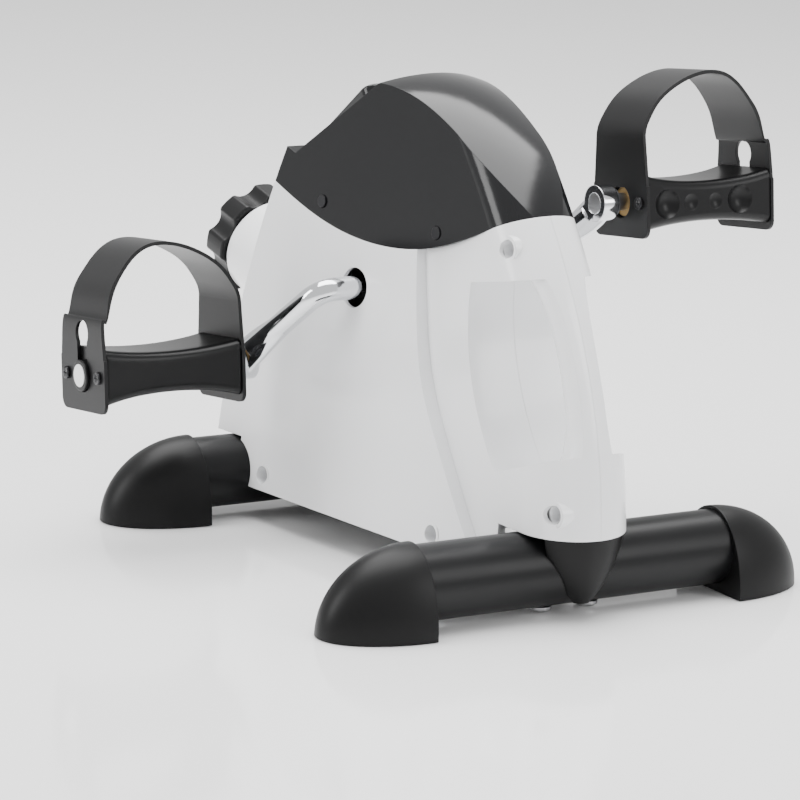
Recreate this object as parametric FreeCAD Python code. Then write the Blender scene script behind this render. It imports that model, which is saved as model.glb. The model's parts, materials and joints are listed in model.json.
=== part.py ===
# Under-desk pedal exerciser: a steel base frame on two cross bars, a split moulded housing with
# a grip at the front, a domed top cover with a display on the user's side, a crank with a
# flywheel held back by a felt brake pad, a tension knob on a neck, and two strapped pedals.
# Millimetres.  +X is the user's right, -Y is the user's side, +Z is up.  Shapes are drawn about
# the point on the floor midway between the two bars, and save() moves them to the part's origin.
import FreeCAD, Part
import math
import os

os.makedirs("parts", exist_ok=True)
V = FreeCAD.Vector

# --- driving dimensions ---------------------------------------------------------------------
BAR_Y = 150.0            # each cross bar lies this far from the middle
BAR_R, BAR_WALL, BAR_Z = 25.0, 2.0, 28.5
RIM_X, CAP_TIP_X = 116.5, 183.0          # end caps: rim, and outermost point
CAP_HALF_Y, CAP_TOP_Z, CAP_SOCKET = 36.0, 56.0, 10.0
AXIS_Y, AXIS_Z = -40.0, 178.5            # crank axis
THROW, THROW_ANGLE = 80.0, -133.2        # crank length, and its angle in YZ on the right side
AXLE_R, AXLE_END, TENON = 8.5, 44.0, 8.0
BEARING_R = 17.5
CRANK_R, CRANK_BEND, EYE_X = 8.0, 18.0, 107.0   # bar radius, bend, middle of the pedal eye
SPINDLE_R = 7.15
PEDAL_IN_X, PEDAL_OUT_X = 125.0, 226.0   # pedal body's end faces
PEDAL_TILT = 7.0
STRAP_T, STRAP_W, STRAP_GAP = 2.4, 56.0, 0.2
FLYWHEEL_R, FLYWHEEL_W = 84.0, 12.0
WALL = 2.8                               # moulded wall
HOUSING_LOW, NOSE_LOW = 22.0, 54.5       # lower edges of the housing
DOME_R = 145.0                           # crown of the cover, about the crank axis
NECK_R, NECK_END_Y, NECK_END_Z = 36.5, -250.0, 163.0
NECK_TILT = 12.0                         # the knob's axis rises this much towards the user
PAD_TRAVEL = 4.4                         # the brake pad's way to the flywheel's rim
SLOPE_FOOT_Y, SLOPE_FOOT_Z, SLOPE = -123.0, 257.0, 36.6   # the console's sloping face
KNOB_R, KNOB_T, KNOB_LOBES = 40.5, 24.0, 8
HUB_HOLE_R = 13.5
SCREW_WELL_R = 6.0
COVER_SCREWS = [(-86.0, 229.5), (37.0, 229.0)]   # (y, z) on each flank


# --- small helpers --------------------------------------------------------------------------
pieces = {}


def keep(name, *shapes):
    pieces[name] = shapes[0] if len(shapes) == 1 else Part.makeCompound(list(shapes))


def rod(start, end, radius):
    along = end.sub(start)
    return Part.makeCylinder(radius, along.Length, start, along)


def ring(start, end, outer, inner):
    return rod(start, end, outer).cut(rod(start, end, inner))


def block(x0, x1, y0, y1, z0, z1):
    return Part.makeBox(x1 - x0, y1 - y0, z1 - z0, V(x0, y0, z0))


def yz(points):
    return [V(0, y, z) for y, z in points]


def spline(points):
    curve = Part.BSplineCurve()
    curve.interpolate(points)
    return curve.toShape()


def polygon_edges(points):
    return [Part.makeLine(a, b) for a, b in zip(points, points[1:])]


def extrude_x(edges, x0, x1):
    face = Part.Face(Part.Wire(Part.__sortEdges__(edges)))
    return face.translated(V(x0, 0, 0)).extrude(V(x1 - x0, 0, 0))


def mirror_x(shape):
    return shape.mirror(V(0, 0, 0), V(1, 0, 0))


def turn_x(shape, y, z, degrees):
    return shape.rotated(V(0, y, z), V(1, 0, 0), degrees)


def soften(shape, edges, radius):
    """Fillet the edges that can take it; the shape stays as it is if the kernel refuses."""
    try:
        rounded = shape.makeFillet(radius, edges)
        if rounded.isValid() and rounded.Volume > 0.5 * shape.Volume:
            return rounded
    except Exception as problem:
        print("fillet left out:", problem)
    return shape


# --- the moulded body's outer form ------------------------------------------------------------
def front_tip_y(z):
    """Front of the body on the middle plane: upright at the foot, leaning back higher up."""
    return 190.0 - 0.00182 * (z - 45.0) ** 2


def side_x(y, z):
    """Half width of the main side face, which tapers to the front and to the top."""
    rise = (z - 15.0) / 310.0
    low = 44.3 + 0.1435 * (150.0 - y)
    high = 14.0 + 0.1206 * (150.0 - y)
    return low * (1 - rise) + high * rise


def nose_half(z):
    """Half width of the narrow nose in front of the step."""
    return 38.5 - 0.033 * (z - 15.0)


def plan_section(z, inset, narrow):
    """Closed outline at height z: two side lines, a round nose and a far rear edge."""
    tip = front_tip_y(z) - inset
    rear = -320.0
    if narrow:
        half = nose_half(z) - inset
        rear_half = half + 0.04 * (tip - half - rear)
    else:
        half = side_x(tip - 38.0, z) - inset
        rear_half = side_x(rear, z) - inset
    nose = tip - half
    right_rear, right_nose = V(rear_half, rear, z), V(half, nose, z)
    left_rear, left_nose = V(-rear_half, rear, z), V(-half, nose, z)
    arc = Part.Arc(right_nose, V(0, tip, z), left_nose).toShape()
    return Part.Wire([Part.makeLine(right_rear, right_nose), arc,
                      Part.makeLine(left_nose, left_rear), Part.makeLine(left_rear, right_rear)])


def body_loft(inset, narrow):
    heights = [5.0, 55.0, 105.0, 155.0, 200.0, 245.0, 290.0, 330.0]
    return Part.makeLoft([plan_section(z, inset, narrow) for z in heights], True, False)


def slope_meets_crown(inset):
    """Foot of the console slope, and where that slope runs into the crown's circle."""
    rise = math.radians(SLOPE)
    foot_y = SLOPE_FOOT_Y + inset * math.sin(rise)
    foot_z = SLOPE_FOOT_Z - inset * math.cos(rise)
    from_axis_y, from_axis_z = foot_y - AXIS_Y, foot_z - AXIS_Z
    towards = from_axis_y * math.cos(rise) + from_axis_z * math.sin(rise)
    beyond = from_axis_y ** 2 + from_axis_z ** 2 - (DOME_R - inset) ** 2
    run = -towards + math.sqrt(towards ** 2 - beyond)
    return V(0, foot_y, foot_z), V(0, foot_y + run * math.cos(rise), foot_z + run * math.sin(rise))


def crown_radius(degrees):
    """The crown is round about the crank axis at the top and runs out into the front line."""
    ahead = max(0.0, 75.0 - degrees) / 49.5
    return DOME_R + 23.0 * ahead ** 2


def crown_point(grow, degrees):
    a, radius = math.radians(degrees), crown_radius(degrees) + grow
    return V(0, AXIS_Y + radius * math.cos(a), AXIS_Z + radius * math.sin(a))


def side_profile(inset, low_z):
    """Side view of the whole body: rear wall, console slope and a line clear above the crown."""
    foot, slope_top = slope_meets_crown(inset)
    lip = V(0, -133 + inset, 260 - 1.2 * inset)
    low_rear = V(0, -166 + inset, HOUSING_LOW - 2)
    rear_wall = Part.Arc(low_rear, V(0, -160 + inset, 150), lip).toShape()
    above = slope_top.add(slope_top.sub(foot).normalize() * 30.0)
    rest = [V(0, 260, above.z), V(0, 260, low_z), V(0, low_rear.y, low_z), low_rear]
    return extrude_x([rear_wall, *polygon_edges([lip, foot, above, *rest])], -160, 160)


def crown_barrel(inset):
    """Everything under the crown, which is domed across as well as along."""
    half, sag = 90.0, 46.0
    sections = []
    for degrees in (8.0, 18.0, 29.0, 40.0, 51.0, 62.0, 75.0, 90.0, 105.0, 125.0, 145.0, 165.0):
        peak = crown_radius(degrees) - inset
        a, b = V(-half, peak - sag, 0), V(half, peak - sag, 0)
        arc = Part.Arc(a, V(0, peak, 0), b).toShape()
        low = [Part.makeLine(b, V(half, 30, 0)), Part.makeLine(V(half, 30, 0), V(-half, 30, 0)),
               Part.makeLine(V(-half, 30, 0), a)]
        sections.append(turn_x(Part.Wire([arc, *low]), 0, 0, degrees))
    return Part.makeLoft(sections, True, False).translated(V(0, AXIS_Y, AXIS_Z))


def step_region(inset):
    """Everything behind the curved step on the flank, where the body is at its full width."""
    curve = spline(yz([(14, 340), (20, 216), (28, 174), (41, 132), (66, 92), (98, 48), (150, -10)]))
    back = polygon_edges(yz([(150, -10), (-330, -10), (-330, 340), (14, 340)]))
    return extrude_x([curve] + back, -160, 160).translated(V(0, -inset, 0))


def seam_region():
    """Everything above the joint line between the housing and the top cover."""
    curve = spline(yz([(-200, 258), (-142, 235), (-75, 215.5), (-20, 211), (30, 217.5), (101, 246), (150, 270)]))
    top = polygon_edges(yz([(150, 270), (150, 380), (-200, 380), (-200, 258)]))
    return extrude_x([curve] + top, -160, 160)


# --- bars, caps and frame -------------------------------------------------------------------
def tube(bar_y):
    half = RIM_X + CAP_SOCKET - 0.2
    shape = ring(V(-half, bar_y, BAR_Z), V(half, bar_y, BAR_Z), BAR_R, BAR_R - BAR_WALL)
    for x in (-18, 18):
        shape = shape.cut(rod(V(x, bar_y, -1), V(x, bar_y, 2 * BAR_Z + 5), 4.3))
    return shape


def half_ellipsoid(shell, bar_y, x0, z0):
    """Quarter of an ellipsoid with the cap's length, width and height, less a wall thickness."""
    sizes = CAP_TIP_X - RIM_X - shell, CAP_HALF_Y - shell, CAP_TOP_Z - shell
    stretch = FreeCAD.Matrix(sizes[0], 0, 0, RIM_X, 0, sizes[1], 0, bar_y, 0, 0, sizes[2], 0, 0, 0, 0, 1)
    ball = Part.makeSphere(1.0).transformGeometry(stretch)
    return ball.common(block(x0, 250, bar_y - 80, bar_y + 80, z0, 100))


def end_cap(bar_y):
    """Half-dome foot, hollow at its nose and sleeved on the bar."""
    socket_end = RIM_X + CAP_SOCKET
    dome = half_ellipsoid(0.0, bar_y, RIM_X, 0.0)
    dome = dome.cut(rod(V(RIM_X - 1, bar_y, BAR_Z), V(socket_end, bar_y, BAR_Z), BAR_R))
    return dome.cut(half_ellipsoid(4.0, bar_y, socket_end + 3.0, 4.0))


def bar_bolts():
    out = []
    for bar_y in (-BAR_Y, BAR_Y):
        for x in (-18, 18):
            low = BAR_Z - BAR_R
            head = Part.makeCylinder(8.0, 2.6, V(x, bar_y, low - 2.6))
            head = soften(head, [head.Edges[2] if len(head.Edges) > 2 else head.Edges[0]], 1.0)
            shank = rod(V(x, bar_y, low - 0.2), V(x, bar_y, 70.0), 4.0)
            out.append(head.fuse(shank))
    return out


def saddle(bar_y):
    """Cradle between the cross bar and the beam: curved below, flat above, welded to the beam."""
    shape = block(-28, 28, bar_y - 11, bar_y + 11, BAR_Z + 8, 56.0)
    shape = shape.cut(rod(V(-60, bar_y, BAR_Z), V(60, bar_y, BAR_Z), BAR_R))
    for x in (-18, 18):
        shape = shape.cut(rod(V(x, bar_y, 0), V(x, bar_y, 80), 4.0))
    return shape


def front_skirt():
    """Dark moulding under the nose: it follows the nose's plan and tapers down over the bar."""
    def outline(z, half, tip):
        arc = Part.Arc(V(half, tip - half, z), V(0, tip, z), V(-half, tip - half, z)).toShape()
        return Part.Wire([arc, Part.makeLine(V(-half, tip - half, z), V(half, tip - half, z))])
    sections = [outline(NOSE_LOW, 37.0, 188.0), outline(40.0, 31.0, 187.0), outline(24.0, 20.0, 183.5),
                outline(9.0, 6.0, 176.0)]
    shape = Part.makeLoft(sections, True, False)
    shape = shape.cut(rod(V(-80, BAR_Y, BAR_Z), V(80, BAR_Y, BAR_Z), BAR_R))
    shape = shape.cut(block(-80, 80, BAR_Y - 40, BAR_Y + 21, -5, 80))
    return max(shape.Solids, key=lambda s: s.Volume)


def base_frame():
    """Box beam between the bars, two side plates and the bearing seats that carry the axle."""
    beam = block(-20, 20, -BAR_Y - 11, BAR_Y + 15, 56, 76)
    beam = beam.cut(block(-18, 18, -BAR_Y - 12, BAR_Y + 16, 58, 74))
    for bar_y in (-BAR_Y, BAR_Y):
        for x in (-18, 18):
            beam = beam.cut(rod(V(x, bar_y, 50), V(x, bar_y, 80), 4.0))
    shape = beam
    for side in (-1, 1):
        x0, x1 = sorted((side * 20.0, side * 25.0))
        outline = yz([(-120, 60), (60, 60), (60, 76), (AXIS_Y + 26, AXIS_Z), (AXIS_Y - 26, AXIS_Z), (-120, 76), (-120, 60)])
        plate = extrude_x(polygon_edges(outline), x0, x1)
        seat = rod(V(side * 20.0, AXIS_Y, AXIS_Z), V(side * 33.0, AXIS_Y, AXIS_Z), 26.0)
        shape = shape.fuse(plate).fuse(seat)
    for side in (-1, 1):
        shape = shape.cut(rod(V(side * 19.0, AXIS_Y, AXIS_Z), V(side * 34.0, AXIS_Y, AXIS_Z), 10.5))
        shape = shape.cut(rod(V(side * 23.0, AXIS_Y, AXIS_Z), V(side * 34.0, AXIS_Y, AXIS_Z), BEARING_R))
        for y, z, r in ((-62, 112, 15), (-14, 112, 15)):
            shape = shape.cut(rod(V(side * 19.0, y, z), V(side * 26.0, y, z), r))
    return shape.removeSplitter()


# --- crank ----------------------------------------------------------------------------------
def axis_point(x, along=0.0):
    a = math.radians(THROW_ANGLE)
    return V(x, AXIS_Y + along * math.cos(a), AXIS_Z + along * math.sin(a))


def crank_axle():
    core = rod(axis_point(-AXLE_END), axis_point(AXLE_END), AXLE_R - 0.03)
    collars = [rod(axis_point(s * 9.0), axis_point(s * 22.5), AXLE_R + 1.5) for s in (-1, 1)]
    tenon = block(-AXLE_END - 14, AXLE_END + 14, -TENON / 2, TENON / 2, -TENON / 2, TENON / 2)
    tenon = tenon.rotated(V(0, 0, 0), V(1, 0, 0), THROW_ANGLE).translated(V(0, AXIS_Y, AXIS_Z))
    return core.fuse(collars[0]).fuse(collars[1]).fuse(tenon).removeSplitter()


def bearing(side):
    inner = ring(axis_point(side * 23.0), axis_point(side * 33.0), BEARING_R, AXLE_R)
    groove = ring(axis_point(side * 32.2), axis_point(side * 33.0), 15.0, 11.5)
    return inner.cut(groove)


def retaining_ring(side):
    return ring(axis_point(side * 33.3), axis_point(side * 34.6), 12.0, AXLE_R)


def flywheel():
    """Turned disc: heavy rim, thin web with round windows, hub on the axle."""
    half = FLYWHEEL_W / 2
    rim = ring(axis_point(-half), axis_point(half), FLYWHEEL_R, FLYWHEEL_R - 16)
    web = ring(axis_point(-2.5), axis_point(2.5), FLYWHEEL_R - 15, AXLE_R + 0.0)
    hub = ring(axis_point(-9.0), axis_point(9.0), 20.0, AXLE_R + 0.0)
    wheel = rim.fuse(web).fuse(hub)
    for k in range(6):
        a = math.radians(60 * k + 20)
        y, z = AXIS_Y + 44 * math.cos(a), AXIS_Z + 44 * math.sin(a)
        wheel = wheel.cut(rod(V(-5, y, z), V(5, y, z), 13.0))
    return wheel.removeSplitter()


def flywheel_magnet():
    return rod(V(FLYWHEEL_W / 2, AXIS_Y, AXIS_Z - 76), V(FLYWHEEL_W / 2 + 3, AXIS_Y, AXIS_Z - 76), 4.0)


def reed_sensor():
    """Sensor on the right side plate that sees the magnet go by."""
    body = block(11, 20, AXIS_Y - 5, AXIS_Y + 5, AXIS_Z - 82, AXIS_Z - 70)
    return soften(body, [e for e in body.Edges if e.BoundBox.XLength > 8], 1.0)


def crank_arm(side):
    """Round bar: out of the hub along the axle, bent towards the pedal, forged flat to an eye."""
    start, knee, eye = V(AXLE_END, 0, 0), V(80.0, 0, 0), V(EYE_X - 2.0, THROW - 14.0, 0)
    first = knee.sub(start).normalize()
    second = eye.sub(knee).normalize()
    turn = first.getAngle(second)
    reach = CRANK_BEND * math.tan(turn / 2)
    p1, p2 = knee.sub(first * reach), knee.add(second * reach)
    bisector = second.sub(first).normalize()
    middle = knee.add(bisector * (CRANK_BEND / math.cos(turn / 2) - CRANK_BEND))
    path = Part.Wire([Part.makeLine(start, p1), Part.Arc(p1, middle, p2).toShape(), Part.makeLine(p2, eye)])
    circle = Part.Wire(Part.Circle(start, V(1, 0, 0), CRANK_R).toShape())
    arm = path.makePipeShell([circle], True, True)
    # the forged end: round at the bar, widening and flattening to the eye
    flats = []
    for along, half_wide, half_thick in ((34, 7.6, 7.4), (48, 9.6, 7.0), (62, 11.4, 6.3), (THROW, 12.0, 6.0)):
        x = min(knee.x + (along * second.x / second.y), EYE_X)
        flat = Part.Ellipse(V(0, 0, 0), half_wide, half_thick).toShape()
        flat.Placement = FreeCAD.Placement(V(x, along, 0), FreeCAD.Rotation(V(0, 0, 1), V(1, 0, 0), V(0, 1, 0), "ZYX"))
        flats.append(Part.Wire(flat))
    arm = arm.fuse(Part.makeLoft(flats, True, False))
    arm = arm.fuse(rod(V(EYE_X - 6.0, THROW, 0), V(EYE_X + 6.0, THROW, 0), 12.5))
    arm = arm.cut(rod(V(EYE_X - 9.0, THROW, 0), V(EYE_X + 9.0, THROW, 0), SPINDLE_R))
    arm = arm.cut(block(AXLE_END - 1, AXLE_END + 14.2, -TENON / 2, TENON / 2, -TENON / 2, TENON / 2))
    arm = max(arm.Solids, key=lambda piece: piece.Volume)
    if side < 0:
        arm = arm.rotated(V(0, 0, 0), V(0, 0, 1), 180)
    return arm.rotated(V(0, 0, 0), V(1, 0, 0), THROW_ANGLE).translated(V(0, AXIS_Y, AXIS_Z))


# --- housing ---------------------------------------------------------------------------------
def body_form(inset):
    """The moulded body as a solid: a wide rear part, stepped down to a narrow nose."""
    wide = body_loft(inset, False).common(step_region(inset))
    return wide.fuse(body_loft(inset, True))


def grip_outline(grow):
    """Side view of the hand opening, open towards the front where the grip bar stands."""
    g = grow
    rear = spline(yz([(75 - g, 203 + g), (77 - g, 168), (93 - g, 124), (119 - g, 87 - g)]))
    low = polygon_edges(yz([(119 - g, 87 - g), (236, 128 - g), (236, 236 + g), (75 - g, 203 + g)]))
    return extrude_x([rear] + low, -130, 130)


def grip_bar(shrink):
    """The bar that the hand holds: it follows the front line and flares into the body."""
    circle = Part.Circle(V(0, 0, 0), V(0, 0, 1), 1.0).toShape()
    sections = []
    for z, half_x, half_y in ((70, 30, 22), (92, 22, 18), (112, 15, 14), (140, 12.6, 12.5), (175, 12.6, 12.5),
                              (200, 15, 14), (218, 20, 17), (238, 26, 21)):
        middle = front_tip_y(z) + 1.5 - half_y
        a, b = half_x - shrink, half_y + 1.5 - shrink
        stretch = FreeCAD.Matrix(a, 0, 0, 0, 0, b, 0, middle, 0, 0, 1, z, 0, 0, 0, 1)
        sections.append(Part.Wire(circle.transformGeometry(stretch)))
    return Part.makeLoft(sections, True, False)


def hand_opening(grow):
    return grip_outline(grow).cut(grip_bar(grow))


def neck(inset):
    """Neck that carries the tension knob: flared where it leaves the rear wall."""
    discs = []
    for reach, flare in ((0.0, 0.0), (40.0, 1.0), (75.0, 4.5), (104.0, 13.0)):
        disc = Part.Circle(knob_line(reach), knob_line(1).sub(knob_line(0)), NECK_R + flare - inset)
        discs.append(Part.Wire(disc.toShape()))
    return Part.makeLoft(discs, True, False)


def knob_line(reach):
    """A point on the knob's axis; 0 is the neck's end, positive runs into the housing."""
    tilt = math.radians(NECK_TILT)
    return V(0, NECK_END_Y + reach * math.cos(tilt), NECK_END_Z - reach * math.sin(tilt))


def housing_solid():
    low = block(-200, 200, -330, 300, NOSE_LOW, 400).fuse(block(-200, 200, -140, BAR_Y - 22, HOUSING_LOW, 400))
    behind = block(-200, 200, -400, AXIS_Y - 95, 60, 260)
    outer = body_form(0.0).common(side_profile(0.0, 10)).cut(seam_region()).common(low)
    outer = outer.fuse(neck(0.0).common(behind)).cut(hand_opening(0.0))
    inner = body_form(WALL).common(side_profile(WALL, -10)).cut(hand_opening(WALL))
    neck_hollow = neck(WALL).common(block(-200, 200, NECK_END_Y + 6, AXIS_Y - 95, 60, 260))
    shell = outer.cut(inner).cut(neck_hollow)
    for bar_y in (-BAR_Y, BAR_Y):
        shell = shell.cut(rod(V(-150, bar_y, BAR_Z), V(150, bar_y, BAR_Z), BAR_R + 0.4))
    shell = shell.cut(rod(axis_point(-120), axis_point(120), HUB_HOLE_R))
    return shell.cut(rod(knob_line(-5), knob_line(12), 7.0))


def housing_screw_places():
    """(y, z, face x, well depth) of the four screws on the right flank."""
    return [(-112.0, 33.0), (70.0, 34.0), (108.0, 231.0), (176.0, 71.0)]


def flank_x(y, z):
    if y < 60 or z < 40:
        return side_x(y, z)
    half = nose_half(z)
    ahead = max(0.0, y - front_tip_y(z) + half)
    return math.sqrt(half ** 2 - ahead ** 2)


def screw_wells(shell_right, shell_left):
    """Deep screw wells in the right half and solid bosses behind them in the left half."""
    for y, z in housing_screw_places():
        mouth = flank_x(y, z)
        boss = rod(V(0, y, z), V(mouth - 1.2, y, z), SCREW_WELL_R + 2.4)
        shell_right = shell_right.fuse(boss).cut(rod(V(14, y, z), V(mouth + 20, y, z), SCREW_WELL_R))
        shell_right = shell_right.cut(rod(V(-1, y, z), V(15, y, z), 2.2))
        shell_left = shell_left.fuse(rod(V(-14, y, z), V(0, y, z), SCREW_WELL_R + 1.0))
        shell_left = shell_left.cut(rod(V(-12, y, z), V(1, y, z), 1.7))
    return shell_right, shell_left


def housing_halves():
    shell = housing_solid()
    right = shell.common(block(0, 300, -400, 400, -10, 400))
    left = shell.common(block(-300, 0, -400, 400, -10, 400))
    print("housing halves in pieces:", [round(s.Volume) for s in right.Solids + left.Solids])
    right, left = screw_wells(right, left)
    return [max(half.Solids, key=lambda piece: piece.Volume) for half in (right, left)]


def flank_normal(y, z):
    """Outward normal of the right flank."""
    ahead = side_x(y + 1, z) - side_x(y, z)
    above = side_x(y, z + 1) - side_x(y, z)
    return V(1, -ahead, -above).normalize()


def cover_screws():
    out = []
    for y, z in COVER_SCREWS:
        seat = V(side_x(y, z), y, z).sub(flank_normal(y, z) * 0.6)
        out.append(screw(seat, flank_normal(y, z), 4.2, 2.2, 1.7, 12.0))
    return out + [mirror_x(piece) for piece in out]


def top_cover():
    outer = body_loft(0.0, False).common(side_profile(0.0, 30)).common(crown_barrel(0.0))
    inner = body_loft(WALL, False).common(side_profile(WALL, 30)).common(crown_barrel(WALL))
    shell = outer.common(seam_region()).cut(inner)
    shell = max(shell.Solids, key=lambda piece: piece.Volume)
    for y, z in COVER_SCREWS:
        normal = flank_normal(y, z)
        seat = V(side_x(y, z), y, z).sub(normal * 0.6)
        boss = rod(seat.sub(normal * 14.0), seat.sub(normal * 1.0), 4.5)
        for side_boss in (boss, mirror_x(boss)):
            shell = shell.fuse(side_boss)
        for hole in (rod(seat, seat.add(normal * 12), 4.4), rod(seat.sub(normal * 12.0), seat, 1.7)):
            shell = shell.cut(hole).cut(mirror_x(hole))
    return shell


def screw(start, direction, head_r, head_h, shank_r, length):
    """Pan-head cross-slot screw, its head standing on the surface at start."""
    d = V(direction).normalize()
    head = rod(start, start.add(d * head_h), head_r)
    shank = rod(start.sub(d * length), start, shank_r)
    return head.fuse(shank)


# --- parts inside and on the console ----------------------------------------------------------
def on_slope(shape):
    """Lay a shape drawn on the XY plane onto the console slope, Z outwards, Y up the slope."""
    foot, slope_top = slope_meets_crown(0.0)
    place = FreeCAD.Placement(foot.add(slope_top.sub(foot).normalize() * 47.0), FreeCAD.Rotation(V(1, 0, 0), SLOPE))
    return shape.transformed(place.toMatrix())


def rounded_slab(half_x, half_y, z0, z1, corner):
    slab = block(-half_x, half_x, -half_y, half_y, z0, z1)
    upright = [e for e in slab.Edges if abs(e.tangentAt(e.FirstParameter).z) > 0.9]
    return slab.makeFillet(corner, upright)


def console_case():
    case = rounded_slab(38, 36, 0.0, 9.0, 8.0)
    top = [e for e in case.Edges if e.BoundBox.ZMin > 8.9]
    case = soften(case, top, 2.0)
    window = rounded_slab(26, 14, 5.0, 12.0, 3.0).translated(V(0, 9, 0))
    button = rod(V(0, -19, 2.0), V(0, -19, 12.0), 8.2)
    pocket = rounded_slab(33, 31, -1.0, 5.0, 5.0)
    return on_slope(case.cut(window).cut(button).cut(pocket))


def display_lens():
    return on_slope(rounded_slab(25.9, 13.9, 5.0, 8.6, 2.9).translated(V(0, 9, 0)))


def display_board():
    return on_slope(rounded_slab(32, 30, 1.2, 2.8, 3.0))


def coin_cell():
    cell = rod(V(21, -19, 2.8), V(21, -19, 4.4), 10.0)
    return on_slope(soften(cell, [e for e in cell.Edges if e.BoundBox.ZLength < 0.1], 0.3))


def mode_button():
    cap = rod(V(0, -19, 4.2), V(0, -19, 10.0), 8.0)
    cap = soften(cap, [e for e in cap.Edges if e.BoundBox.ZMin > 9.9], 1.2)
    return on_slope(cap)


def tension_knob():
    """Lobed hand knob: eight lobes with hollows between them, rounded rims, bored for the screw."""
    blank = Part.makeCylinder(KNOB_R, KNOB_T)
    for k in range(KNOB_LOBES):
        a = 2 * math.pi * (k + 0.5) / KNOB_LOBES
        hollow = Part.makeCylinder(11.0, KNOB_T + 2, V((KNOB_R + 6.0) * math.cos(a), (KNOB_R + 6.0) * math.sin(a), -1))
        blank = blank.cut(hollow)
    sides = [e for e in blank.Edges if abs(e.BoundBox.ZLength - KNOB_T) < 0.1]
    blank = soften(blank, sides, 3.0)
    rims = [e for e in blank.Edges if e.BoundBox.ZLength < 0.1]
    blank = soften(blank, rims, 2.0)
    blank = blank.cut(Part.makeCylinder(25.0, 3.0, V(0, 0, -0.01)))
    blank = blank.cut(Part.makeCylinder(4.0, 12.0, V(0, 0, -0.01)))
    outward = knob_line(-1).sub(knob_line(0))
    place = FreeCAD.Placement(knob_line(-1.5), FreeCAD.Rotation(V(0, 0, 1), outward))
    return blank.transformed(place.toMatrix())


def tension_screw():
    return rod(knob_line(-13.4), knob_line(124), 3.97).fuse(ring(knob_line(11), knob_line(14), 9.5, 3.0))


def screw_bracket():
    """Steel plate on the beam that steadies the inner end of the tension screw."""
    plate = block(-14, 14, -152, -148, 76, 158)
    foot = block(-14, 14, -152, -132, 76, 79)
    return plate.fuse(foot).cut(rod(knob_line(90), knob_line(115), 4.3)).removeSplitter()


def tension_nut():
    return ring(knob_line(108), knob_line(120), 8.0, 4.05)


def rim_arc(inner, outer, half_width, half_height):
    """Part of a ring round the flywheel where the tension screw points, drawn back by the travel."""
    arc = ring(axis_point(-half_width), axis_point(half_width), FLYWHEEL_R + outer, FLYWHEEL_R + inner)
    along = knob_line(1).sub(knob_line(0))
    window = block(-20, 20, 0, 60, -half_height, half_height)
    turn = FreeCAD.Placement(knob_line(112), FreeCAD.Rotation(V(0, 1, 0), along))
    return arc.common(window.transformed(turn.toMatrix())).translated(along * -PAD_TRAVEL)


def brake_shoe():
    """Carriage between the nut and the felt: a bored block behind a curved backing plate."""
    backing = rim_arc(4.4, 7.4, 6.0, 17.0)
    stem = rod(knob_line(120), knob_line(133), 7.0)
    beyond = rod(axis_point(-30), axis_point(30), FLYWHEEL_R + 6.0).translated(
        (knob_line(1).sub(knob_line(0))) * -PAD_TRAVEL)
    shoe = backing.fuse(stem.cut(beyond))
    return shoe.cut(rod(knob_line(119), knob_line(126), 4.6)).removeSplitter()


def brake_pad():
    return rim_arc(0.4, 4.4, 6.0, 15.0)


# --- pedals# --- pedals -----------------------------------------------------------------------------------
def pedal_centre(side):
    a = math.radians(THROW_ANGLE)
    return AXIS_Y + side * THROW * math.cos(a), AXIS_Z + side * THROW * math.sin(a)


def place_pedal(shape, side):
    """From a right pedal drawn with its spindle on the X axis to its place at rest."""
    if side < 0:
        shape = mirror_x(shape)
    y, z = pedal_centre(side)
    return turn_x(shape.translated(V(0, y, z)), y, z, PEDAL_TILT)


def pedal_body():
    """Foot bar, waisted in the middle on top and below, with finger hollows along its rear."""
    middle = (PEDAL_IN_X + PEDAL_OUT_X) / 2
    sections = []
    for x, half_y, top, bottom in ((PEDAL_IN_X, 31, 19, -19), (PEDAL_IN_X + 16, 30, 15.5, -16.5), (middle, 29, 13, -14.5),
                                   (PEDAL_OUT_X - 16, 30, 15.5, -16.5), (PEDAL_OUT_X, 31, 19, -19)):
        r = 6.0
        corner = [(-half_y + r, bottom), (half_y - r, bottom), (half_y, bottom + r), (half_y, top - r),
                  (half_y - r, top), (-half_y + r, top), (-half_y, top - r), (-half_y, bottom + r)]
        p = [V(x, y, z) for y, z in corner]
        d = r * (1 - math.sqrt(0.5))
        arcs = [V(x, half_y - d, bottom + d), V(x, half_y - d, top - d), V(x, -half_y + d, top - d),
                V(x, -half_y + d, bottom + d)]
        edges = [Part.makeLine(p[0], p[1]), Part.Arc(p[1], arcs[0], p[2]).toShape(), Part.makeLine(p[2], p[3]),
                 Part.Arc(p[3], arcs[1], p[4]).toShape(), Part.makeLine(p[4], p[5]),
                 Part.Arc(p[5], arcs[2], p[6]).toShape(), Part.makeLine(p[6], p[7]),
                 Part.Arc(p[7], arcs[3], p[0]).toShape()]
        sections.append(Part.Wire(edges))
    body = Part.makeLoft(sections, True, False)
    body = body.cut(rod(V(PEDAL_IN_X - 1, 0, 0), V(PEDAL_OUT_X + 1, 0, 0), 10.0))
    for y in (-23, 23):
        for x0, x1 in ((PEDAL_IN_X - 1, PEDAL_IN_X + 9.5), (PEDAL_OUT_X - 9.5, PEDAL_OUT_X + 1)):
            body = body.cut(rod(V(x0, y, 0), V(x1, y, 0), 2.0))
    for x, deep in ((141, 13.0), (161, 10.5), (181, 10.5), (201, 13.0)):
        body = body.cut(Part.makeSphere(deep, V(x, 38.0, -1.0)))
    return body


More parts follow.
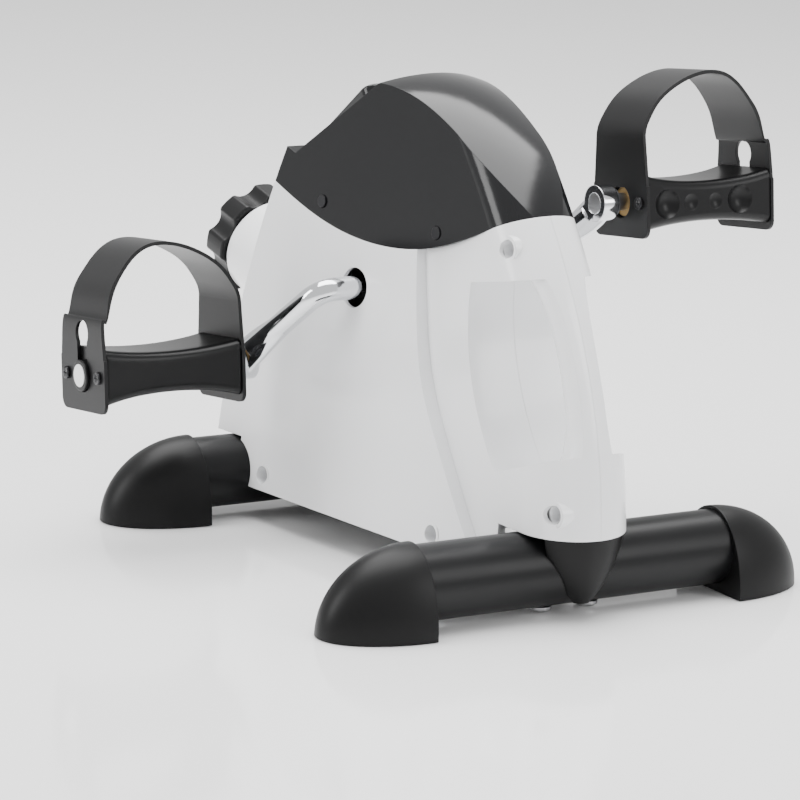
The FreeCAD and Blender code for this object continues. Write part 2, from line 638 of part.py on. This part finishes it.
def pedal_spindle():
    threaded = rod(V(EYE_X - 6, 0, 0), V(EYE_X + 6.0, 0, 0), SPINDLE_R)
    collar = rod(V(EYE_X + 6.0, 0, 0), V(EYE_X + 9.0, 0, 0), 10.0)
    shaft = rod(V(EYE_X + 9.0, 0, 0), V(PEDAL_OUT_X - 8, 0, 0), 6.0)
    return threaded.fuse(collar).fuse(shaft)


def pedal_bush(x0, x1):
    return ring(V(x0, 0, 0), V(x1, 0, 0), 10.0, 6.04)


def strap():
    """Moulded strap: an arch over the foot that ends in a plate on each end of the pedal."""
    outline = [(0, 44), (4.5, 57), (12, 67), (25, 76.5), (42, 83.5), (55, 85.5), (66, 84), (76, 78),
               (86, 66.5), (94, 51), (99.5, 36), (101, 24)]
    points = [V(PEDAL_IN_X + x, 0, z) for x, z in outline]
    middle_line = Part.BSplineCurve()
    middle_line.interpolate(Points=points, InitialTangent=V(0, 0, 1), FinalTangent=V(0, 0, -1))
    runs = []
    for reach in (STRAP_GAP, STRAP_GAP + STRAP_T):
        pushed = []
        for point in points:
            along = middle_line.tangent(middle_line.parameter(point))[0]
            pushed.append(point + V(-along.z, 0, along.x) * reach)
        run = Part.BSplineCurve()
        run.interpolate(Points=pushed, InitialTangent=V(0, 0, 1), FinalTangent=V(0, 0, -1))
        runs.append([V(pushed[0].x, 0, 10), pushed[0], run, pushed[-1], V(pushed[-1].x, 0, 10)])
    edges = []
    for foot_in, start, run, end, foot_out in runs:
        edges += [Part.makeLine(foot_in, start), run.toShape(), Part.makeLine(end, foot_out)]
    edges += [Part.makeLine(runs[0][0], runs[1][0]), Part.makeLine(runs[0][4], runs[1][4])]
    face = Part.Face(Part.Wire(Part.__sortEdges__(edges)))
    band = face.translated(V(0, -STRAP_W / 2 - 4, 0)).extrude(V(0, STRAP_W + 8, 0))
    # in side view the band narrows from the end plates to the apex
    width = Part.Wire([spline([V(0, -STRAP_W / 2 - 4, 5), V(0, -STRAP_W / 2, 45), V(0, -STRAP_W / 2 + 3, 100)]),
                       Part.makeLine(V(0, -STRAP_W / 2 + 3, 100), V(0, STRAP_W / 2 - 3, 100)),
                       spline([V(0, STRAP_W / 2 - 3, 100), V(0, STRAP_W / 2, 45), V(0, STRAP_W / 2 + 4, 5)]),
                       Part.makeLine(V(0, STRAP_W / 2 + 4, 5), V(0, -STRAP_W / 2 - 4, 5))])
    band = band.common(Part.Face(width).translated(V(80, 0, 0)).extrude(V(180, 0, 0)))
    shape = band
    for x in (PEDAL_IN_X - STRAP_GAP - STRAP_T, PEDAL_OUT_X + STRAP_GAP):
        plate = block(x, x + STRAP_T, -STRAP_W / 2 - 4, STRAP_W / 2 + 4, -24, 12)
        corners = [e for e in plate.Edges if e.BoundBox.XLength > 1 and e.BoundBox.ZMax < -23]
        plate = soften(plate, corners, 7.0)
        plate = plate.cut(rod(V(x - 1, 0, 0), V(x + STRAP_T + 1, 0, 0), 11.2))
        for y in (-23, 23):
            plate = plate.cut(rod(V(x - 1, y, 0), V(x + STRAP_T + 1, y, 0), 2.5))
        shape = shape.fuse(plate)
    x = PEDAL_OUT_X
    slot = block(x - 2, x + 8, -7, 7, 8, 28).fuse(rod(V(x - 2, 0, 28), V(x + 8, 0, 28), 9.0))
    return shape.cut(slot).removeSplitter()


def strap_screws():
    out = []
    for y in (-23, 23):
        for x, d in ((PEDAL_IN_X - STRAP_GAP - STRAP_T, -1), (PEDAL_OUT_X + STRAP_GAP + STRAP_T, 1)):
            out.append(screw(V(x, y, 0), V(d, 0, 0), 4.2, 1.8, 2.0, STRAP_T + STRAP_GAP + 9))
    return out


def end_boss():
    boss = rod(V(PEDAL_OUT_X, 0, 0), V(PEDAL_OUT_X + 5.2, 0, 0), 10.6)
    return soften(boss, [e for e in boss.Edges if e.BoundBox.XMin > PEDAL_OUT_X + 5], 0.8)


def side_badge():
    return rod(V(PEDAL_OUT_X + 5.2, 0, 0), V(PEDAL_OUT_X + 5.7, 0, 0), 7.6)


# --- build every piece --------------------------------------------------------------------------
keep("base_frame", base_frame())
keep("front_tube", tube(BAR_Y))
keep("rear_tube", tube(-BAR_Y))
keep("front_saddle", saddle(BAR_Y))
keep("rear_saddle", saddle(-BAR_Y))
keep("front_skirt", front_skirt())
keep("bar_bolts", *bar_bolts())
for bar_name, bar_y in (("front", BAR_Y), ("rear", -BAR_Y)):
    cap = end_cap(bar_y)
    keep(f"{bar_name}_right_cap", cap)
    keep(f"{bar_name}_left_cap", mirror_x(cap))

keep("crank_axle", crank_axle())
keep("flywheel", flywheel())
keep("flywheel_magnet", flywheel_magnet())
keep("reed_sensor", reed_sensor())
for side_name, side in (("right", 1), ("left", -1)):
    keep(f"{side_name}_crank", crank_arm(side))
    keep(f"{side_name}_bearing", bearing(side))
keep("retaining_rings", retaining_ring(1), retaining_ring(-1))
keep("tension_knob", tension_knob())
keep("tension_screw", tension_screw())
keep("screw_bracket", screw_bracket())
keep("tension_nut", tension_nut())
keep("brake_shoe", brake_shoe())
keep("brake_pad", brake_pad())

right_half, left_half = housing_halves()
keep("right_housing", right_half)
keep("left_housing", left_half)
keep("housing_screws", *[screw(V(14, y, z), V(1, 0, 0), 4.4, 3.0, 1.7, 25.0) for y, z in housing_screw_places()])
keep("top_cover", top_cover())
keep("cover_screws", *cover_screws())
keep("console_case", console_case())
keep("display_lens", display_lens())
keep("display_board", display_board())
keep("coin_cell", coin_cell())
keep("mode_button", mode_button())

for side_name, side in (("right", 1), ("left", -1)):
    for piece_name, parts in (
            ("pedal_body", [pedal_body()]),
            ("spindle", [pedal_spindle()]),
            ("pedal_bushes", [pedal_bush(PEDAL_IN_X, PEDAL_IN_X + 12), pedal_bush(PEDAL_OUT_X - 22, PEDAL_OUT_X - 10)]),
            ("strap", [strap()]),
            ("strap_screws", strap_screws()),
            ("end_boss", [end_boss()]),
            ("side_badge", [side_badge()])):
        keep(f"{side_name}_{piece_name}", *[place_pedal(solid, side) for solid in parts])

# The part's origin is on the floor, midway between the knob's back and the front caps' front.
back_y = pieces["tension_knob"].optimalBoundingBox().YMin
to_origin = V(0, -(back_y + BAR_Y + CAP_HALF_Y) / 2, 0)
print("shift to the part's origin:", round(to_origin.y, 4))
for name, shape in pieces.items():
    shape.translated(to_origin).exportStep(f"parts/{name}.step")
    print(f"{name:20s} solids {len(shape.Solids)}  volume {shape.Volume / 1000:8.2f} cm3  valid {shape.isValid()}")
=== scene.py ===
# %% [markdown]
# # A pedal exerciser, from frame to finish
# The solids come ready made, with their joints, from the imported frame.  This notebook gives each
# of them a finish, adds the fine details that the plain solids lack, and sets up a small studio
# round them.  Everything is in metres: +X is the user's right,
# -Y is the user's side and +Z is up.

# %% Load the frame
import json
import math

import bpy
from mathutils import Matrix, Vector


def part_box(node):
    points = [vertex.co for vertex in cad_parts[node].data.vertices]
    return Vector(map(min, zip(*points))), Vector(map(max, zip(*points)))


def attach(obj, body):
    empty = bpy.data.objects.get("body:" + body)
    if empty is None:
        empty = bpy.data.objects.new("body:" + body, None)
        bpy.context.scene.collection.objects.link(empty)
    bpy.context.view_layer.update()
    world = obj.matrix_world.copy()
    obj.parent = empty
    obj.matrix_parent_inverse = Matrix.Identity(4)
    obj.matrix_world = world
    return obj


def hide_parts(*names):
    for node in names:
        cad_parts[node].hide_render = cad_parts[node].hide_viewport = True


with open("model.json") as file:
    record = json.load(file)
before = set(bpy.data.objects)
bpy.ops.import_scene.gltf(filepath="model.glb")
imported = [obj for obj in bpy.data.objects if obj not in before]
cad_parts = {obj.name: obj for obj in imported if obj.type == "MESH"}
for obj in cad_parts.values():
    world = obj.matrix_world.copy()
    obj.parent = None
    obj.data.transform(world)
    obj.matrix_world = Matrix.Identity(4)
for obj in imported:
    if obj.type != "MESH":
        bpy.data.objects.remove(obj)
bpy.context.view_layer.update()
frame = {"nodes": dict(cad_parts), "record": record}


def centre_of(node):
    """Middle of a solid's box."""
    low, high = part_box(node)
    return (Vector(low) + Vector(high)) / 2


print("the axle's middle:", [round(v, 4) for v in centre_of("crank_axle")])

# %% [markdown]
# ## Helpers
# An operator acts on all that is selected, so every step starts by choosing one object alone.
# A cut is a boolean with a tool that is made in place and then thrown away.  It works on a merged
# copy of the solid, because a boolean needs a closed mesh and a solid arrives as loose triangles.

# %% Helpers for choosing and copying
def choose(obj):
    """Make obj the only selected and active object."""
    if bpy.context.object and bpy.context.object.mode != "OBJECT":
        bpy.ops.object.mode_set(mode="OBJECT")
    bpy.ops.object.select_all(action="DESELECT")
    obj.select_set(True)
    bpy.context.view_layer.objects.active = obj
    return obj


def apply_all(obj):
    """Apply every modifier of obj, in order."""
    choose(obj)
    for modifier in list(obj.modifiers):
        bpy.ops.object.modifier_apply(modifier=modifier.name)
    return obj


def copy_solid(node, name):
    """A new object with a merged copy of a solid's mesh."""
    obj = bpy.data.objects.new(name, frame["nodes"][node].data.copy())
    bpy.context.scene.collection.objects.link(obj)
    obj.data.materials.clear()
    choose(obj)
    bpy.ops.object.mode_set(mode="EDIT")
    bpy.ops.mesh.select_all(action="SELECT")
    bpy.ops.mesh.remove_doubles(threshold=1e-6)
    bpy.ops.object.mode_set(mode="OBJECT")
    return obj


def cut_away(obj, tools):
    """Cut every tool out of obj, and throw the tools away."""
    for tool in tools:
        cut = obj.modifiers.new("cut", "BOOLEAN")
        cut.operation = "DIFFERENCE"
        cut.solver = "EXACT"
        cut.object = tool
        apply_all(obj)
        bpy.data.objects.remove(tool, do_unlink=True)
    return obj


def soft_edges(obj, angle=35.0):
    """Smooth shading that keeps the edges sharper than angle."""
    choose(obj)
    bpy.ops.object.shade_smooth_by_angle(angle=math.radians(angle))
    return obj


def join_frame(obj, body, slot, finish, *nodes):
    """Give a finished piece its finish, its body and the solids that it stands for."""
    if finish:
        obj.data.materials.clear()
        obj.data.materials.append(finish)
    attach(obj, body)
    if nodes:
        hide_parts(*nodes)
    return obj


def paint(finish, *nodes):
    """Put a finish on solids that stay as they are."""
    for node in nodes:
        for slot in frame["nodes"][node].material_slots:
            slot.material = finish

# %% [markdown]
# ## Finishes
# Most of this object is moulded plastic, and what tells the mouldings apart is their grain.  The
# white case is polished, the domed cover nearly so, and the caps, pedals and knob have the fine
# spark-eroded grain of a working surface.  Each finish is one Principled shader.  A slow noise
# moves its colour and roughness a little, as handling does, and a fast noise gives the grain.
# A Bevel node rounds each edge for the light alone, by the radius that the mould or the tool
# leaves.  The solids keep their true shape, and their edges still catch a highlight.

# %% A maker of finishes
def make_finish(name, colour, roughness, grain=(900.0, 0.0), drift=0.04, metal=0.0, coat=0.0,
                specular=0.5, stretch=(1.0, 1.0, 1.0), cloud=14.0, edge=0.5):
    """Plastic, paint or metal; grain is (noise scale, height in mm), edge a radius in mm."""
    material = bpy.data.materials.new(name)
    material.use_nodes = True
    nodes, links = material.node_tree.nodes, material.node_tree.links
    shader = nodes["Principled BSDF"]
    shader.inputs["Metallic"].default_value = metal
    shader.inputs["Specular IOR Level"].default_value = specular
    shader.inputs["Coat Weight"].default_value = coat
    shader.inputs["Coat Roughness"].default_value = 0.06
    place = nodes.new("ShaderNodeTexCoord")
    turn = nodes.new("ShaderNodeMapping")
    turn.inputs["Scale"].default_value = stretch
    links.new(place.outputs["Object"], turn.inputs["Vector"])
    slow = nodes.new("ShaderNodeTexNoise")
    slow.inputs["Scale"].default_value = cloud
    slow.inputs["Detail"].default_value = 4.0
    links.new(turn.outputs["Vector"], slow.inputs["Vector"])
    tone = nodes.new("ShaderNodeValToRGB")
    tone.color_ramp.elements[0].position = 0.3
    tone.color_ramp.elements[1].position = 0.7
    tone.color_ramp.elements[0].color = [c * (1 - drift) for c in colour] + [1.0]
    tone.color_ramp.elements[1].color = [min(1.0, c * (1 + drift)) for c in colour] + [1.0]
    links.new(slow.outputs["Fac"], tone.inputs["Fac"])
    links.new(tone.outputs["Color"], shader.inputs["Base Color"])
    gloss = nodes.new("ShaderNodeMapRange")
    gloss.inputs["To Min"].default_value = roughness * 0.88
    gloss.inputs["To Max"].default_value = roughness * 1.12
    links.new(slow.outputs["Fac"], gloss.inputs["Value"])
    links.new(gloss.outputs["Result"], shader.inputs["Roughness"])
    rounding = nodes.new("ShaderNodeBevel")
    rounding.samples = 6
    rounding.inputs["Radius"].default_value = edge / 1000.0
    links.new(rounding.outputs["Normal"], shader.inputs["Normal"])
    scale, height = grain
    if height > 0:
        fast = nodes.new("ShaderNodeTexNoise")
        fast.inputs["Scale"].default_value = scale
        fast.inputs["Detail"].default_value = 2.0
        links.new(turn.outputs["Vector"], fast.inputs["Vector"])
        bump = nodes.new("ShaderNodeBump")
        bump.inputs["Strength"].default_value = 1.0
        bump.inputs["Distance"].default_value = height / 1000.0
        links.new(fast.outputs["Fac"], bump.inputs["Height"])
        links.new(rounding.outputs["Normal"], bump.inputs["Normal"])
        links.new(bump.outputs["Normal"], shader.inputs["Normal"])
    return material

# %% The finishes
white_case = make_finish("white_polished_case", (0.86, 0.865, 0.875),
                         0.24, (260.0, 0.003), 0.01, coat=0.3, edge=0.9)
black_cover = make_finish("dark_polished_cover", (0.008, 0.0082, 0.009),
                         0.14, (300.0, 0.003), 0.08, specular=0.3, edge=0.8)
tube_coat = make_finish("satin_powder_coat", (0.0045, 0.0046, 0.005),
                        0.34, (1500.0, 0.02), 0.12, specular=0.22)
cap_plastic = make_finish("grained_cap_plastic", (0.0035, 0.0035, 0.0037),
                         0.40, (1900.0, 0.03), 0.15, specular=0.2, edge=1.0)
knob_plastic = make_finish("satin_knob_plastic", (0.005, 0.005, 0.0053),
                         0.36, (1700.0, 0.03), 0.12, specular=0.22, edge=0.8)
pedal_plastic = make_finish("satin_pedal_plastic", (0.004, 0.004, 0.0043),
                         0.32, (1600.0, 0.02), 0.15, specular=0.22, edge=0.8)
strap_rubber = make_finish("flexible_strap", (0.008, 0.008, 0.0085),
                         0.38, (1300.0, 0.02), 0.15, specular=0.22)
chrome = make_finish("polished_chrome", (0.72, 0.73, 0.75),
                     0.08, (500.0, 0.002), 0.02, metal=1.0, edge=1.0)
turned_steel = make_finish("turned_steel", (0.50, 0.50, 0.51),
                         0.30, (900.0, 0.01), 0.06, metal=1.0, stretch=(6, 1, 1))
cast_iron = make_finish("turned_cast_iron", (0.13, 0.13, 0.135),
                        0.48, (700.0, 0.05), 0.12, metal=0.9)
felt = make_finish("wool_felt", (0.16, 0.155, 0.145), 0.95, (800.0, 0.25), 0.2)
bronze = make_finish("sintered_bronze", (0.42, 0.28, 0.12), 0.45, (1500.0, 0.03), 0.1, metal=1.0)
black_oxide = make_finish("black_oxide_screw", (0.025, 0.025, 0.027),
                         0.30, (900.0, 0.01), 0.1, metal=0.7, edge=0.3)
zinc_screw = make_finish("zinc_screw", (0.42, 0.42, 0.43),
                         0.35, (900.0, 0.01), 0.1, metal=0.9, edge=0.3)
badge_white = make_finish("badge_white", (0.84, 0.84, 0.83), 0.30, (900.0, 0.004), 0.02, edge=0.2)
board_green = make_finish("green_board", (0.02, 0.10, 0.04), 0.40, (600.0, 0.01), 0.1)
smoked_window = make_finish("smoked_window", (0.045, 0.055, 0.050),
                         0.08, (200.0, 0.0), 0.05, coat=0.5)
button_grey = make_finish("grey_button", (0.16, 0.165, 0.17), 0.40, (1500.0, 0.02), 0.08)

paint(tube_coat, "base_frame", "front_tube", "rear_tube", "front_saddle", "rear_saddle")
paint(cap_plastic, "front_skirt", "front_right_cap", "front_left_cap", "rear_right_cap", "rear_left_cap",
      "reed_sensor")
paint(turned_steel, "bar_bolts", "crank_axle", "flywheel_magnet", "right_bearing", "left_bearing",
      "retaining_rings", "tension_screw", "screw_bracket", "tension_nut", "brake_shoe", "coin_cell")
paint(cast_iron, "flywheel")
paint(felt, "brake_pad")
paint(chrome, "right_crank", "left_crank")
paint(knob_plastic, "tension_knob")
paint(white_case, "right_housing", "left_housing")
paint(black_cover, "top_cover", "console_case")
paint(zinc_screw, "housing_screws")
paint(black_oxide, "cover_screws")
paint(smoked_window, "display_lens")
paint(board_green, "display_board")
paint(button_grey, "mode_button")
for side in ("right", "left"):
    paint(pedal_plastic, f"{side}_pedal_body", f"{side}_end_boss")
    paint(turned_steel, f"{side}_spindle")
    paint(bronze, f"{side}_pedal_bushes")
    paint(strap_rubber, f"{side}_strap")
    paint(black_oxide, f"{side}_strap_screws")
    paint(badge_white, f"{side}_side_badge")

# %% [markdown]
# ## The right foot bar
# Each foot bar has four finger hollows along one long side, where the mould saves plastic: the
# front of the left bar and the rear of the right one.  Both solids have theirs at the front.  The
# bar is the same above and below, so half a turn about its spindle puts the hollows at the rear.

# %% Turn the right foot bar half round its spindle
foot_bar = copy_solid("right_pedal_body", "right_foot_bar")
spindle_line = centre_of("right_spindle")
bpy.ops.object.mode_set(mode="EDIT")
bpy.ops.mesh.select_all(action="SELECT")
bpy.ops.transform.rotate(value=math.pi, orient_axis="X", center_override=spindle_line)
bpy.ops.object.mode_set(mode="OBJECT")
soft_edges(foot_bar)
join_frame(foot_bar, "right_pedal", "black_pedal", pedal_plastic, "right_pedal_body")
print("foot bar:", len(foot_bar.data.polygons), "faces, turned about", [round(v, 4) for v in spindle_line])

# %% [markdown]
# ## Cross slots in the screws
# A screw head without its slot looks like a rivet.  Each slot is a small cross, cut from the top of
# every head.  The screws of one set share a solid, so the crosses are placed on each loose part.

# %% A cross cutter for one head
def cross_at(place, direction, arm, depth):
    """Two thin bars that cross at place and reach depth into the head, along direction."""
    thickness = arm * 0.42
    tools = []
    turn = Vector(direction).to_track_quat("Z", "Y")
    for spin in (0.0, math.pi / 2):
        bpy.ops.mesh.primitive_cube_add(size=1.0, location=place)
        bar = bpy.context.object
        bar.rotation_euler = (turn @ Matrix.Rotation(spin, 4, "Z").to_quaternion()).to_euler()
        bar.scale = (2 * arm, thickness, 2 * depth)
        tools.append(bar)
    return tools


def loose_parts(obj):
    """Vertex places of each separate part of a merged mesh."""
    mesh = obj.data
    group = list(range(len(mesh.vertices)))

    def root(index):
        while group[index] != index:
            group[index] = group[group[index]]
            index = group[index]
        return index

    for edge in mesh.edges:
        a, b = root(edge.vertices[0]), root(edge.vertices[1])
        if a != b:
            group[a] = b
    parts = {}
    for vertex in mesh.vertices:
        parts.setdefault(root(vertex.index), []).append(vertex.co.copy())
    return list(parts.values())


HEAD_HEIGHT = 0.0012                       # what lies this close to a screw's top is its head


def slot_screws(node, name, direction_of, arm, depth, body, slot, finish):
    """A copy of a set of screws with a cross slot in every head."""
    obj = copy_solid(node, name)
    tools = []
    for points in loose_parts(obj):
        middle = sum(points, Vector()) / len(points)
        direction = direction_of(middle)
        reach = max(point.dot(direction) for point in points)
        head = [point for point in points if reach - point.dot(direction) < HEAD_HEIGHT]
        top = sum(head, Vector()) / len(head)
        top += direction * (reach - top.dot(direction))
        tools += cross_at(top, direction, arm, depth)
    cut_away(obj, tools)
    soft_edges(obj)
    join_frame(obj, body, slot, finish, node)
    print(name, len(tools) // 2, "slotted heads")
    return obj

# %% The slotted screws
SLOT_ARM = 0.0022                          # from the middle of a head to the end of its slot
CASE_SLOT_DEPTH, BAND_SLOT_DEPTH = 0.0012, 0.0010
slot_screws("housing_screws", "case_screws", lambda middle: Vector((1, 0, 0)), SLOT_ARM,
            CASE_SLOT_DEPTH, "frame", "black_screw", zinc_screw)
for side, out in (("right", 1.0), ("left", -1.0)):
    hub = centre_of(f"{side}_pedal_body")
    slot_screws(f"{side}_strap_screws", f"{side}_band_screws",
                lambda middle, hub=hub: Vector((1.0 if middle.x > hub.x else -1.0, 0, 0)),
                SLOT_ARM, BAND_SLOT_DEPTH, f"{side}_pedal", "black_screw", black_oxide)

# %% [markdown]
# ## Studio
# A pale floor with a faint gloss, a large soft light above, one at each side and a light ground
# behind.  The camera looks a little down at the front right corner with a long lens.

# %% Floor, lights and world
bpy.ops.object.select_all(action="DESELECT")
bpy.ops.mesh.primitive_plane_add(size=30.0, location=(0.0, 0.0, -0.0005))
floor = bpy.context.object
floor.name = "studio_floor"
floor_finish = bpy.data.materials.new("pale_floor")
floor_finish.use_nodes = True
floor_shader = floor_finish.node_tree.nodes["Principled BSDF"]
floor_shader.inputs["Base Color"].default_value = (0.92, 0.92, 0.92, 1.0)
floor_shader.inputs["Roughness"].default_value = 0.10
floor_shader.inputs["Specular IOR Level"].default_value = 0.5
floor.data.materials.append(floor_finish)

world = bpy.data.worlds.new("studio")
bpy.context.scene.world = world
world.use_nodes = True
world.node_tree.nodes["Background"].inputs["Color"].default_value = (1.0, 1.0, 1.0, 1.0)
world.node_tree.nodes["Background"].inputs["Strength"].default_value = 1.0


def soft_light(name, place, target, width, height, power):
    """A rectangular soft light at place that faces target."""
    data = bpy.data.lights.new(name, "AREA")
    data.shape = "RECTANGLE"
    data.size, data.size_y, data.energy = width, height, power
    lamp = bpy.data.objects.new(name, data)
    lamp.location = place
    lamp.rotation_euler = (Vector(target) - Vector(place)).to_track_quat("-Z", "Y").to_euler()
    bpy.context.scene.collection.objects.link(lamp)
    return lamp


soft_light("overhead", (-0.3, -0.4, 2.4), (0, 0, 0.10), 2.4, 2.4, 150.0)
soft_light("right_window", (2.2, -0.6, 1.3), (0, 0, 0.18), 0.8, 1.6, 34.0)
soft_light("front_window", (-1.3, 2.2, 1.3), (0, 0.1, 0.18), 0.7, 1.4, 20.0)

# %% Camera
AXLE_BEHIND_BARS = 0.040                   # from the middle between the bars back to the axle
joints = frame["record"]["behaviour"]["joints"]
crank_place = next(joint["pos_m"] for joint in joints if joint["name"] == "crank_spin")
bars_middle = crank_place[1] + AXLE_BEHIND_BARS
eye = Vector((1.337, 2.112 + bars_middle, 0.691))
heading, pitch, roll = math.radians(58.41 - 180.0), math.radians(-13.23), math.radians(2.45)
ahead = Vector((math.cos(pitch) * math.cos(heading), math.cos(pitch) * math.sin(heading), math.sin(pitch)))
level = ahead.cross(Vector((0, 0, 1))).normalized()
upright = level.cross(ahead)
right = level * math.cos(roll) + upright * math.sin(roll)
up = upright * math.cos(roll) - level * math.sin(roll)
camera_data = bpy.data.cameras.new("camera")
camera_data.lens, camera_data.sensor_width = 170.55, 36.0
camera = bpy.data.objects.new("camera", camera_data)
camera.matrix_world = Matrix.Translation(eye) @ Matrix((right, up, -ahead)).transposed().to_4x4()
bpy.context.scene.collection.objects.link(camera)
bpy.context.scene.camera = camera
